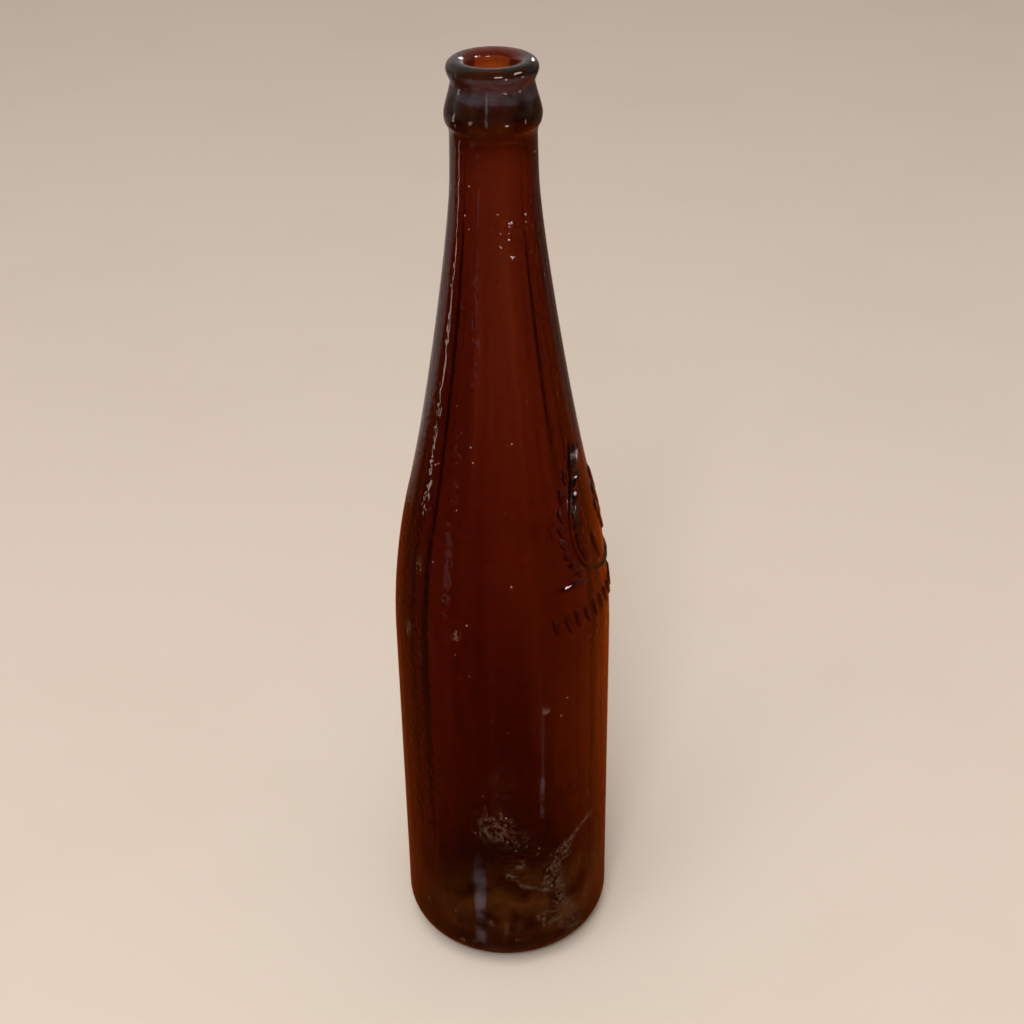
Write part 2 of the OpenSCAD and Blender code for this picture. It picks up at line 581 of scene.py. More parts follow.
@dataclass
class OldGlass:
    """Unevenness of hand-fed moulded glass: slow waves, mould seams and an uneven wall."""

    wave: float = 0.00009
    waves: tuple[Wave, ...] = (
        (1.0, 3, 0.031, 0.0), (0.7, 5, -0.019, 1.3), (0.5, 2, 0.012, 4.0), (0.4, 9, 0.043, 0.6))
    ripple: float = 0.000022
    seam_h: float = 0.00018
    seam_w: float = 0.00034
    seam_least: float = 0.25
    seam_margin: float = 0.00003
    body_seams: tuple[float, float] = (-86.0, 94.0)
    finish_seams: tuple[float, float] = (-98.0, 82.0)
    wall_swing: float = 0.00060
    wall_waves: tuple[Wave, ...] = (
        (0.55, 1, 0.12, 0.9), (0.45, 2, -0.07, 2.2), (0.3, 4, -0.045, 0.4), (0.22, 7, 0.026, 0.0))
    streak: float = 0.00022
    neck_calm: float = 0.75

    def outside(self, at: Spots, form: BottleForm) -> np.ndarray:
        """How far the outer surface departs from the true round.

        Args:
            at: Places on the wall.
            form: The bottle's form.

        Returns:
            The shift along the radius in metres; only the seams stand out of the round.
        """
        turn, r, z = at
        most = sum(wave[0] for wave in self.waves)
        quick = np.sin(23 * turn + z / 0.05) * np.sin(z / 0.037 + 2 * turn)
        body = soft_step(0.002, 0.03, z) * (1 - soft_step(form.finish_z - 0.004, form.finish_z, z))
        sunk = self.wave * (most - winding(self.waves, at)) / (2 * most)
        shift = -body * (sunk + self.ripple * (1 - quick) / 2)
        for seams, low, high in (
            (self.body_seams, 0.004, form.finish_z),
            (self.finish_seams, form.finish_z + 0.002, form.height - 0.001),
        ):
            span = soft_step(low, low + 0.006, z) * (1 - soft_step(high - 0.003, high, z))
            # a seam under the widest part stays inside the widest radius
            room = np.clip((form.body_r - self.seam_margin - r) / self.seam_h, self.seam_least, 1.0)
            for place in seams:
                off = turn_from(turn, place) * r
                shift += self.seam_h * room * np.exp(-((off / self.seam_w) ** 2)) * span
        return shift

    def inside(self, at: Spots, form: BottleForm) -> np.ndarray:
        """How far the inner surface departs from the true round, as the wall thickens and thins.

        Args:
            at: Places on the wall.
            form: The bottle's form.

        Returns:
            The shift along the radius in metres; a positive shift thins the wall.
        """
        turn, _, z = at
        fade_in = soft_step(0.014, 0.04, z)
        span = fade_in * (1 - self.neck_calm * soft_step(form.neck_z - 0.05, form.neck_z, z))
        # upright lines left as the glass was drawn out
        drawn = np.sin(13 * turn + 0.8 * np.sin(z / 0.05)) * np.sin(5 * turn + 1.1)
        drawn = drawn + 0.7 * np.sin(29 * turn + z / 0.2)
        shift = self.wall_swing * winding(self.wall_waves, at) + self.streak * drawn
        return shift * span * (1 - soft_step(form.finish_z - 0.006, form.finish_z, z))


# ---------------------------------------------------------------- node tools


class Graph:
    """Small helper that adds and joins shader nodes in one tree."""

    def __init__(self, tree: bpy.types.NodeTree) -> None:
        """Keeps the tree to work in."""
        self.tree = tree

    def join(self, socket: bpy.types.NodeSocket, value: object) -> None:
        """Sets an input socket to a value, or links an output socket to it.

        Args:
            socket: The input.
            value: The value, or the output socket.
        """
        if isinstance(value, bpy.types.NodeSocket):
            self.tree.links.new(value, socket)
        else:
            socket.default_value = value

    def feed(self, node: bpy.types.Node, inputs: dict[str | int, object]) -> None:
        """Sets or links inputs of a node, by the name or index of the socket."""
        for name, value in inputs.items():
            self.join(node.inputs[name], value)

    def add(
        self, kind: str, inputs: dict[str | int, object] | None = None, **settings: object
    ) -> bpy.types.Node:
        """Adds one node.

        Args:
            kind: Blender's name of the node type.
            inputs: Socket name or index to a value, or to an output socket to join.
            **settings: Properties of the node.

        Returns:
            The node.
        """
        node = self.tree.nodes.new(kind)
        for name, value in settings.items():
            setattr(node, name, value)
        self.feed(node, inputs or {})
        return node

    def maths(self, operation: str, a: object, b: object = 0.0, clamp: bool = False) -> bpy.types.NodeSocket:
        """The output of a Math node on two values or sockets."""
        return self.add("ShaderNodeMath", {0: a, 1: b}, operation=operation, use_clamp=clamp).outputs[0]

    def times(self, first: object, *others: object) -> bpy.types.NodeSocket:
        """The product of values or sockets."""
        return reduce(lambda a, b: self.maths("MULTIPLY", a, b), others, first)

    def rest(self, value: object) -> bpy.types.NodeSocket:
        """What is left of one when a value is taken away."""
        return self.maths("SUBTRACT", 1.0, value)

    def ramp(self, value: object, low: float, high: float) -> bpy.types.NodeSocket:
        """A value mapped from the range low..high to 0..1, with soft ends."""
        inputs = {"Value": value, "From Min": low, "From Max": high}
        return self.add("ShaderNodeMapRange", inputs, interpolation_type="SMOOTHSTEP").outputs["Result"]

    def spread(self, value: object, low: float, high: float) -> bpy.types.NodeSocket:
        """A value mapped evenly from 0..1 to the range low..high."""
        inputs = {"Value": value, "To Min": low, "To Max": high}
        return self.add("ShaderNodeMapRange", inputs).outputs["Result"]

    def noise(
        self, vector: object, scale: object, detail: float = 3.0, rough: float = 0.6
    ) -> bpy.types.NodeSocket:
        """The value of a Noise texture at a place."""
        inputs = {"Vector": vector, "Scale": scale, "Detail": detail, "Roughness": rough}
        return self.add("ShaderNodeTexNoise", inputs).outputs["Fac"]

    def blend(self, factor: object, first: object, second: object) -> bpy.types.NodeSocket:
        """The colour between two colours or colour sockets.

        Args:
            factor: Value or socket, 0 for the first colour and 1 for the second.
            first: Colour or socket.
            second: Colour or socket.

        Returns:
            The blended colour.
        """
        node = self.add("ShaderNodeMix", data_type="RGBA")
        inputs = [node.inputs["Factor"]] + [s for s in node.inputs if s.type == "RGBA"]
        for socket, value in zip(inputs, (factor, first, second)):
            self.join(socket, value)
        return next(s for s in node.outputs if s.type == "RGBA")

    def threads(self, vector: object, scale: float, width: float) -> bpy.types.NodeSocket:
        """Fine wandering lines, 1 along a line and 0 away from it.

        Args:
            vector: Place on the surface.
            scale: How many turns of the lines there are per metre.
            width: How wide the lines are, as a share of the noise's range.

        Returns:
            The strength of the lines.
        """
        wander = self.noise(vector, scale, 4.0, 0.62)
        off = self.maths("ABSOLUTE", self.maths("SUBTRACT", wander, 0.5))
        return self.rest(self.ramp(off, 0.0, width))

    def place(self, scale: tuple[float, float, float] = (1.0, 1.0, 1.0)) -> bpy.types.NodeSocket:
        """Object coordinates, stretched by a Mapping node."""
        where = self.add("ShaderNodeTexCoord").outputs["Object"]
        return self.add("ShaderNodeMapping", {"Vector": where, "Scale": scale}).outputs["Vector"]

    def split(self, vector: object) -> bpy.types.NodeOutputs:
        """The X, Y and Z of a vector."""
        return self.add("ShaderNodeSeparateXYZ", {"Vector": vector}).outputs


class PatchGroup:
    """Shared group of broken patches and fine grit, for smears on glass, dirt, flakes and the floor."""

    NAME = "Broken patches"
    INPUTS = (("Vector", None), ("Patch Scale", 60.0), ("Grit Scale", 900.0), ("Cover", 0.5))

    @classmethod
    def tree(cls) -> bpy.types.NodeTree:
        """The group's tree, built once.

        Returns:
            The shader node tree with outputs Patches and Grit.
        """
        made = bpy.data.node_groups.get(cls.NAME)
        if made:
            return made
        made = bpy.data.node_groups.new(cls.NAME, "ShaderNodeTree")
        for name, value in cls.INPUTS:
            kind = "NodeSocketVector" if value is None else "NodeSocketFloat"
            socket = made.interface.new_socket(name, in_out="INPUT", socket_type=kind)
            if value is not None:
                socket.default_value = value
        for name in ("Patches", "Grit"):
            made.interface.new_socket(name, in_out="OUTPUT", socket_type="NodeSocketFloat")
        g = Graph(made)
        come, go = g.add("NodeGroupInput").outputs, g.add("NodeGroupOutput")
        broad = g.noise(come["Vector"], come["Patch Scale"], 5.0, 0.62)
        fine = g.noise(come["Vector"], come["Grit Scale"], 3.0, 0.7)
        edge = g.maths("SUBTRACT", 0.72, g.times(come["Cover"], 0.4))
        over = g.maths("SUBTRACT", broad, edge)
        g.feed(go, {"Patches": g.ramp(over, -0.06, 0.12), "Grit": g.ramp(fine, 0.42, 0.66)})
        return made

    @classmethod
    def use(cls, g: Graph, vector: object, patch: float, grit: float, cover: float) -> bpy.types.NodeOutputs:
        """Places the group in a material.

        Args:
            g: The material's graph.
            vector: Socket with the place on the surface.
            patch: Scale of the patches, per metre.
            grit: Scale of the grit, per metre.
            cover: How much of the surface the patches take, from 0 to 1.

        Returns:
            The group's outputs.
        """
        inputs = {"Vector": vector, "Patch Scale": patch, "Grit Scale": grit, "Cover": cover}
        return g.add("ShaderNodeGroup", inputs, node_tree=cls.tree()).outputs


def fresh_material(name: str) -> tuple[bpy.types.Material, Graph, bpy.types.Node, bpy.types.Node]:
    """A node material with one Principled shader joined to its output.

    Args:
        name: Name of the material.

    Returns:
        The material, its graph, the shader and the output node.
    """
    material = bpy.data.materials.new(name)
    material.use_nodes = True
    material.node_tree.nodes.clear()
    g = Graph(material.node_tree)
    shader, out = g.add("ShaderNodeBsdfPrincipled"), g.add("ShaderNodeOutputMaterial")
    g.feed(out, {"Surface": shader.outputs["BSDF"]})
    return material, g, shader, out


# ---------------------------------------------------------------- finishes


@dataclass(frozen=True)
class BottleGlassFinish:
    """Dark red-brown bottle glass: coloured through its thickness, glossy, wavy, smeared in places."""

    colour: Colour = (0.60, 0.20, 0.02, 1.0)
    density: float = 810.0
    ior: float = 1.5
    gloss: Colour = (0.85, 0.78, 0.75, 1.0)
    clean: float = 0.01
    smeared: float = 0.09
    handled: Point = (0.02, 0.085)
    drawn: float = 330.0
    dimples: float = 480.0
    dimple_patches: float = 45.0
    relief: float = 0.00034

    def roughness(self, g: Graph, where: bpy.types.NodeSocket) -> bpy.types.NodeSocket:
        """How dull the glass is: smeared in patches, and rubbed low down.

        Args:
            g: The material's graph.
            where: Place on the surface.

        Returns:
            The roughness.
        """
        smears = PatchGroup.use(g, where, 38.0, 700.0, 0.34)
        low = g.rest(g.ramp(g.split(where)["Z"], *self.handled))
        dull = g.maths("MAXIMUM", g.times(smears["Patches"], 0.55), g.times(low, 0.6))
        return g.spread(g.times(dull, g.times(smears["Grit"], 0.5)), self.clean, self.smeared)

    def bump(self, g: Graph, where: bpy.types.NodeSocket) -> bpy.types.NodeSocket:
        """The fine unevenness of the surface: lines drawn upwards, and patches of dimples.

        Args:
            g: The material's graph.
            where: Place on the surface.

        Returns:
            The normal.
        """
        drawn = g.noise(g.place((1.0, 1.0, 0.05)), self.drawn, 2.0, 0.5)
        dimple = g.noise(where, self.dimples, 0.5, 0.5)
        patchy = g.ramp(g.noise(where, self.dimple_patches, 2.0, 0.5), 0.38, 0.66)
        dimple = g.times(dimple, g.maths("ADD", g.times(patchy, 0.8), 0.2))
        height = g.maths("ADD", g.times(drawn, 0.25), g.times(dimple, 0.60))
        inputs = {"Height": height, "Strength": 1.0, "Distance": self.relief}
        return g.add("ShaderNodeBump", inputs).outputs["Normal"]

    def material(self) -> bpy.types.Material:
        """Builds the glass material.

        Returns:
            The material.
        """
        material, g, shader, out = fresh_material("bottle_glass")
        where = g.place()
        g.feed(shader, {
            "Base Color": WHITE,
            "Transmission Weight": 1.0,
            "IOR": self.ior,
            "Specular Tint": self.gloss,
            "Roughness": self.roughness(g, where),
            "Normal": self.bump(g, where),
        })
        body = g.add("ShaderNodeVolumeAbsorption", {"Color": self.colour, "Density": self.density})
        g.feed(out, {"Volume": body.outputs["Volume"]})
        return material


@dataclass(frozen=True)
class DirtFinish:
    """Dust and dried marks: a thin veil, lacy crusts and a scuffed patch, clear between them. The film also
    carries painted light: a pale mauve painted sheen with painted highlights, and an amber painted glow low
    down.
    """

    # amber brown: the colour of the dust veil, which low down is also a painted glow of light through the
    # base
    dust: Colour = (0.21, 0.062, 0.006, 1.0)
    # pale mauve: pale dust, and also painted sheen and painted highlights where the bands, lines and skirt
    # of the pale layer stand
    pale_dust_and_sheen: Colour = (0.30, 0.25, 0.27, 1.0)
    chalk: Colour = (0.38, 0.25, 0.16, 1.0)
    veil_most: float = 0.60
    pale_dust_and_sheen_most: float = 0.26
    crust_most: float = 0.35
    scuff_most: float = 0.23

    def material(self) -> bpy.types.Material:
        """Builds the film material, which reads four attributes: the brown dust veil with its painted glow,
        the pale dust with its painted sheen and highlights, the marks and the scuff.

        Returns:
            The material.
        """
        material, g, shader, _ = fresh_material("dried_dirt")
        where = g.place()
        grit = PatchGroup.use(g, where, 300.0, 1900.0, 0.60)["Grit"]
        dust_and_glow, pale_dust_and_sheen, marks, scuff = (
            g.add("ShaderNodeAttribute", attribute_name=name).outputs["Fac"]
            for name in ("dust_and_glow", "pale_dust_and_sheen", "marks", "scuff"))

        # clouds of dust, brown and pale; low down the brown veil is also a painted glow of light through the
        # base, and the pale mauve layer is also painted sheen and highlights
        grain = g.maths("ADD", g.times(grit, 0.5), 0.5)
        cloud = g.times(g.ramp(g.noise(where, 110.0, 4.0), 0.30, 0.66), grain)
        veil = g.times(dust_and_glow, cloud, self.veil_most)
        pale = g.times(pale_dust_and_sheen, cloud, self.pale_dust_and_sheen_most)

        # crusts: islands joined by lace
        islands = g.ramp(g.maths("ADD", marks, g.noise(where, 950.0, 4.0)), 1.04, 1.20)
        lace = g.times(g.threads(where, 470.0, 0.055), g.ramp(g.noise(where, 700.0), 0.36, 0.56))
        lace = g.times(lace, g.ramp(marks, 0.06, 0.40))
        crust = g.times(g.maths("MAXIMUM", g.times(islands, 0.7), lace), grain, self.crust_most)

        # a scuffed patch of fine scratches
        crackle = g.maths("MAXIMUM", g.threads(where, 620.0, 0.050), g.threads(where, 1000.0, 0.055))
        crackle = g.times(crackle, g.ramp(g.noise(where, 520.0), 0.40, 0.58))
        hard = g.maths("MAXIMUM", crust, g.times(scuff, crackle, self.scuff_most))

        colour = g.blend(g.ramp(g.maths("SUBTRACT", pale, veil), -0.01, 0.02), self.dust, self.pale_dust_and_sheen)
        g.feed(shader, {
            "Alpha": g.maths("MAXIMUM", g.maths("MAXIMUM", veil, pale), hard, clamp=True),
            "Base Color": g.blend(g.ramp(hard, 0.02, 0.12), colour, self.chalk),
            "Roughness": 0.9,
            "Specular IOR Level": 0.15,
        })
        return material


@dataclass(frozen=True)
class SpeckFinish:
    """Pale dust flakes."""

    light: Colour = (0.42, 0.33, 0.26, 1.0)
    dark: Colour = (0.20, 0.13, 0.09, 1.0)

    def material(self) -> bpy.types.Material:
        """Builds the flake material.

        Returns:
            The material.
        """
        material, g, shader, _ = fresh_material("dust_flakes")
        broken = PatchGroup.use(g, g.place(), 90.0, 2500.0, 0.5)
        ramp = g.add("ShaderNodeValToRGB", {"Fac": broken["Grit"]})
        for element, colour in zip(ramp.color_ramp.elements, (self.dark, self.light)):
            element.color = colour
        g.feed(shader, {
            "Base Color": ramp.outputs["Color"],
            "Roughness": g.spread(broken["Patches"], 0.6, 0.9),
        })
        return material


@dataclass(frozen=True)
class TableFinish:
    """Plain pale studio surface, which shiny things mirror as warm near by and pale further back."""

    colour: Colour = (0.63, 0.56, 0.48, 1.0)
    shade: Colour = (0.62, 0.55, 0.47, 1.0)
    mirrored_near: Colour = (0.20, 0.034, 0.004, 1.0)
    mirrored_right: Colour = (0.43, 0.070, 0.005, 1.0)
    mirrored_far: Colour = (0.38, 0.29, 0.265, 1.0)
    mirrored_far_right: Colour = (0.17, 0.10, 0.075, 1.0)
    right: Point = (0.04, 0.16)
    far: Point = (0.30, 0.42)

    def material(self) -> bpy.types.Material:
        """Builds the pale surface.

        Returns:
            The material.
        """
        material, g, shader, _ = fresh_material("pale_surface")
        where = g.place()
        seen = g.blend(PatchGroup.use(g, where, 6.0, 400.0, 0.5)["Patches"], self.colour, self.shade)
        spot = g.split(where)
        beside, beyond = g.ramp(spot["X"], *self.right), g.ramp(spot["Y"], *self.far)
        mirrored = g.blend(
            beside,
            g.blend(beyond, self.mirrored_near, self.mirrored_far),
            g.blend(beyond, self.mirrored_right, self.mirrored_far_right))
        ray = g.add("ShaderNodeLightPath").outputs
        bounced = g.times(ray["Is Glossy Ray"], ray["Is Reflection Ray"])
        g.feed(shader, {
            "Base Color": g.blend(bounced, seen, mirrored),
            "Roughness": 0.75,
            "Specular IOR Level": 0.0,
        })
        return material


# ---------------------------------------------------------------- building tools


def spin_outline(
    bm: bmesh.types.BMesh, outline: list[Point], sectors: list[tuple[float, int]], start: float
) -> None:
    """Turns an outline into a surface round the Z axis, sector by sector.

    Args:
        bm: Mesh to add to.
        outline: Points as (radius, height).
        sectors: Pairs of (angle in degrees, number of steps), one after another.
        start: Angle in degrees where the first sector starts.
    """
    first = [bm.verts.new((r, 0.0, z)) for r, z in outline]
    edges = [bm.edges.new(pair) for pair in zip(first, first[1:])]
    turn = Matrix.Rotation(math.radians(start), 4, "Z")
    bmesh.ops.transform(bm, matrix=turn, verts=first)
    last: list[bmesh.types.BMVert | bmesh.types.BMEdge] = [*first, *edges]
    for angle, steps in sectors:
        swept = bmesh.ops.spin(
            bm, geom=last, cent=(0, 0, 0), axis=(0, 0, 1), angle=math.radians(angle), steps=steps,
            use_merge=angle == FULL_TURN)
        last = swept["geom_last"]
    bmesh.ops.remove_doubles(bm, verts=bm.verts, dist=MERGE)


def polar(bm: bmesh.types.BMesh) -> Spots:
    """The angle, radius and height of every vertex of a mesh."""
    x, y, z = np.array([v.co[:] for v in bm.verts]).T
    return Spots(np.arctan2(y, x), np.hypot(x, y), z)


def set_polar(bm: bmesh.types.BMesh, at: Spots) -> None:
    """Moves every vertex of a mesh to the given angle, radius and height."""
    for vert, x, y, z in zip(bm.verts, at.r * np.cos(at.turn), at.r * np.sin(at.turn), at.z):
        vert.co = (x, y, z)


def stand(name: str, data: bpy.types.ID) -> bpy.types.Object:
    """Makes an object of a mesh, light or camera, and puts it in the scene.

    Args:
        name: Name of the object.
        data: What it shows.

    Returns:
        The object.
    """
    thing = bpy.data.objects.new(name, data)
    bpy.context.scene.collection.objects.link(thing)
    return thing


def dressed(bm: bmesh.types.BMesh, name: str, material: bpy.types.Material) -> bpy.types.Object:
    """Makes an object of a mesh, with one material.

    Args:
        bm: The finished mesh, which is freed.
        name: Name of the object.
        material: Its finish.

    Returns:
        The object.
    """
    mesh = bpy.data.meshes.new(name)
    bm.to_mesh(mesh)
    bm.free()
    mesh.materials.append(material)
    return stand(name, mesh)


def finish_piece(bm: bmesh.types.BMesh, name: str, material: bpy.types.Material) -> bpy.types.Object:
    """Makes a piece of a mesh, smooth shaded, riding on the bottle's body.

    Args:
        bm: The finished mesh, which is freed.
        name: Name of the piece.
        material: Its finish.

    Returns:
        The object.
    """
    for face in bm.faces:
        face.smooth = True
    piece = dressed(bm, name, material)
    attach(piece, "root")
    return piece


# ---------------------------------------------------------------- the pieces


@dataclass
class GlassBottle:
    """The bottle itself: one closed wall of glass with its relief, seams and unevenness."""

    form: BottleForm
    ornament: Ornament
    surface: OldGlass
    finish: BottleGlassFinish = BottleGlassFinish()
    column_step: float = 2.5
    seam_step: float = 0.4
    seam_half: float = 1.2
    patch_half: float = 66.5
    patch_cuts: int = 4
    skin_depth: float = 0.001
    # where the middle of the wall is: as a share of it, and in the finish in metres beyond the bore
    mid_wall: float = 0.5
    mid_finish: float = 0.0018
    lip_kept: float = 0.98
    floor_kept: float = 0.001

    def sectors(self) -> tuple[float, list[tuple[float, int]]]:
        """Splits the full turn so that columns stand close together at the seams.

        Returns:
            The start angle and the sectors, as (angle, steps).
        """
        places = sorted(self.surface.body_seams + self.surface.finish_seams)
        start = places[0] - self.seam_half
        made: list[tuple[float, int]] = []
        for place, following in zip(places, places[1:] + [places[0] + FULL_TURN]):
            fine = 2 * self.seam_half
            wide = following - place - fine
            made.append((fine, round(fine / self.seam_step)))
            made.append((wide, max(1, round(wide / self.column_step))))
        return start, made

    def refine_patch(self, bm: bmesh.types.BMesh) -> None:
        """Cuts the outer faces under the ornament finely.

        Args:
            bm: The spun bottle.
        """
        # a dict keeps each edge once, in the order it is found
        chosen: dict[bmesh.types.BMEdge, None] = {}
        for face in bm.faces:
            c = face.calc_center_median()
            outer = math.hypot(c.x, c.y) > self.form.outer_radius(c.z) - self.skin_depth
            if outer and self.form.by_ornament(math.atan2(c.y, c.x), c.z, self.patch_half):
                chosen.update(dict.fromkeys(face.edges))
        bmesh.ops.subdivide_edges(bm, edges=list(chosen), cuts=self.patch_cuts, use_grid_fill=True)

    def shape(self, bm: bmesh.types.BMesh) -> None:
        """Lays the relief, seams and waves on the outer skin and the uneven wall on the inner one.

        Args:
            bm: The spun bottle.
        """
        form = self.form
        at = polar(bm)
        _, r, z = at
        true_r = form.outer_radius(z)
        in_wall = true_r - form.wall_at(z) * self.mid_wall
        middle = np.where(z < form.finish_z, in_wall, form.bore_r + self.mid_finish)
        heel = (z < form.heel_r) & (r > form.inner_r - form.floor_corner_r / 2)
        outer = np.where(z > form.heel_r, r > middle, heel)
        outer &= z < form.height - form.lip_round + form.lip_round * self.lip_kept
        walled = outer & (z > form.heel_r) & (z < form.finish_z - MERGE)
        inner = ~outer & (z > form.base_t + form.push_up + self.floor_kept) & (z < form.finish_z)
        shaped = np.where(walled, true_r, r)
        shaped = shaped + outer * self.surface.outside(at, form)
        shaped = shaped + walled * self.ornament.raised(at._replace(r=true_r))
        shaped = shaped + inner * self.surface.inside(at, form)
        set_polar(bm, at._replace(r=shaped))

    def build(self) -> bpy.types.Object:
        """Makes the bottle and puts it in place of its solid.

        Returns:
            The object.
        """
        bm = bmesh.new()
        start, sectors = self.sectors()
        spin_outline(bm, self.form.outside() + self.form.inside()[1:], sectors, start)
        self.refine_patch(bm)
        self.shape(bm)
        bmesh.ops.recalc_face_normals(bm, faces=bm.faces)
        piece = finish_piece(bm, "glass_bottle", self.finish.material())
        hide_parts("bottle")
        return piece


@dataclass(frozen=True)
class Blot:
    """A soft round mark on the wall.

    Attributes:
        turn: Angle round the bottle in degrees.
        up: Height in metres.
        wide: Reach sideways in metres.
        tall: Reach up and down in metres.
        strength: Strength at its middle, from 0 to 1.
    """

    turn: float
    up: float
    wide: float
    tall: float
    strength: float


@dataclass(frozen=True)
class Run:
    """A dried run: a line of places on the wall with a width and a strength.

    Attributes:
        places: Angle in degrees and height in metres of each place.
        half: Half its width in metres.
        strength: Strength along its middle, from 0 to 1.
    """

    places: tuple[Point, ...]
    half: float
    strength: float


@dataclass
class DriedDirt:
    """Film of dust and dried marks on the outside, from the heel to the lip, cut back to the marks. Some of
    it is painted light: a painted glow low down, painted sheen bands, painted glints and a painted seam
    highlight.
    """

    form: BottleForm
    surface: OldGlass
    finish: DirtFinish = DirtFinish()
    low: float = 0.003
    high: float = 0.3196
    dustiest: float = -40.0
    finish_dust: float = 0.20
    faintest: float = 0.004
    lift: float = 0.00003
    columns: int = 300
    # small blots, then the smears low on the front, then the far side
    blots: tuple[Blot, ...] = (
        Blot(-114.9, 0.1431, 0.0021, 0.0032, 0.62),
        Blot(-67.9, 0.1136, 0.0018, 0.0020, 0.80),
        Blot(-149.7, 0.1373, 0.0026, 0.0040, 0.55),
        Blot(-142.4, 0.1636, 0.0022, 0.0048, 0.50),
        Blot(-99.8, 0.0219, 0.0022, 0.0022, 0.62),
        Blot(-91.0, 0.0185, 0.0012, 0.0040, 0.50),
        Blot(-117.2, 0.0104, 0.0016, 0.0012, 0.95),
        Blot(-109.5, 0.0117, 0.0012, 0.0010, 0.80),
        Blot(-88.0, 0.0449, 0.0032, 0.0036, 0.42),
        Blot(-82.5, 0.0488, 0.0030, 0.0040, 0.36),
        Blot(-73.4, 0.0524, 0.0018, 0.0012, 0.52),
        Blot(-52.0, 0.0165, 0.0080, 0.0050, 0.42),
        Blot(-66.0, 0.0190, 0.0060, 0.0030, 0.40),
        Blot(-58.0, 0.0080, 0.0100, 0.0030, 0.34),
        Blot(35.0, 0.0900, 0.0040, 0.0050, 0.45),
        Blot(74.0, 0.0400, 0.0060, 0.0040, 0.50),
        Blot(118.0, 0.1300, 0.0030, 0.0060, 0.45),
        Blot(150.0, 0.0700, 0.0050, 0.0040, 0.55),
    )
    runs: tuple[Run, ...] = (
        Run(((-35.3, 0.0600), (-45.2, 0.0577), (-52.0, 0.0543), (-59.5, 0.0523)), 0.0012, 0.60),
        Run(((-50.9, 0.0525), (-57.5, 0.0515), (-64.2, 0.0504)), 0.0009, 0.56),
        Run(((-56.0, 0.0500), (-60.4, 0.0464), (-65.2, 0.0450)), 0.0030, 0.56),
        Run(((-60.4, 0.0464), (-62.3, 0.0391), (-57.3, 0.0339), (-60.3, 0.0291)), 0.0032, 0.55),
        Run(((-65.2, 0.0450), (-67.1, 0.0390), (-68.1, 0.0356)), 0.0026, 0.50),
        Run(((-60.3, 0.0291), (-55.0, 0.0228), (-51.6, 0.0171), (-50.0, 0.0120)), 0.0032, 0.54),
        Run(((-69.9, 0.0236), (-63.0, 0.0215), (-58.0, 0.0190)), 0.0028, 0.48),
        Run(((-84.7, 0.0418), (-82.5, 0.0392), (-78.8, 0.0383), (-74.2, 0.0375)), 0.0006, 0.66),
        Run(((112.0, 0.080), (108.0, 0.050), (111.0, 0.020)), 0.0026, 0.52),
        Run(((20.0, 0.050), (24.0, 0.030), (22.0, 0.012)), 0.0024, 0.50),
    )
    scuffs: tuple[Blot, ...] = (
        Blot(-96.3, 0.0667, 0.0078, 0.0088, 1.0),
        Blot(-84.0, 0.0600, 0.0075, 0.0060, 0.45),
        Blot(-92.0, 0.0860, 0.0050, 0.0090, 0.35),
        Blot(140.0, 0.0600, 0.0080, 0.0090, 0.8),
    )
    # soft upright bands of pale dust, the one at -105.5 degrees a painted reflection low on the front; then
    # thin upright lines: the two at -70 degrees a painted glint, the one at -98 degrees dust in the finish
    # seam and a painted seam highlight, the last a rub line
    bands: tuple[Blot, ...] = (
        Blot(-105.5, 0.0290, 0.0040, 0.0230, 1.15),
        Blot(-98.0, 0.0100, 0.0120, 0.0050, 0.35),
        Blot(60.0, 0.0500, 0.0030, 0.0300, 0.60),
    )
    lines: tuple[Run, ...] = (
        Run(((-70.0, 0.118), (-70.0, 0.086)), 0.0004, 0.30),
        Run(((-70.0, 0.086), (-70.2, 0.069)), 0.0005, 0.95),
        Run(((-98.0, 0.3140), (-98.0, 0.3045)), 0.0003, 1.60),
        Run(((100.0, 0.150), (101.0, 0.080)), 0.0005, 0.40),
    )

    def offsets(self, at: Spots, centre: float) -> np.ndarray:
        """Signed distances round the wall from an upright line at an angle in degrees, in metres."""
        return turn_from(at.turn, centre) * self.form.outer_radius(at.z)

    def round_marks(self, blots: tuple[Blot, ...], at: Spots) -> np.ndarray:
        """Strength of a set of blots.

        Args:
            blots: The blots.
            at: Places on the wall.

        Returns:
            The strength at each place.
        """
        best = np.zeros_like(at.z)
        for blot in blots:
            gap = np.hypot(self.offsets(at, blot.turn) / blot.wide, (at.z - blot.up) / blot.tall)
            best = np.maximum(best, blot.strength * (1 - soft_step(0.25, 1.25, gap)))
        return best

    def run_marks(self, runs: tuple[Run, ...], at: Spots) -> np.ndarray:
        """Strength of a set of runs.

        Args:
            runs: The runs.
            at: Places on the wall.

        Returns:
            The strength at each place.
        """
        best = np.zeros_like(at.z)
        for run in runs:
            for a, b in zip(run.places, run.places[1:]):
                x, up = self.offsets(at, a[0]), at.z - a[1]
                dx, dz = math.radians(b[0] - a[0]) * self.form.body_r, b[1] - a[1]
                t = np.clip((x * dx + up * dz) / (dx * dx + dz * dz), 0.0, 1.0)
                gap = np.hypot(x - t * dx, up - t * dz) / run.half
                best = np.maximum(best, run.strength * (1 - soft_step(0.2, 1.8, gap)))
        return best

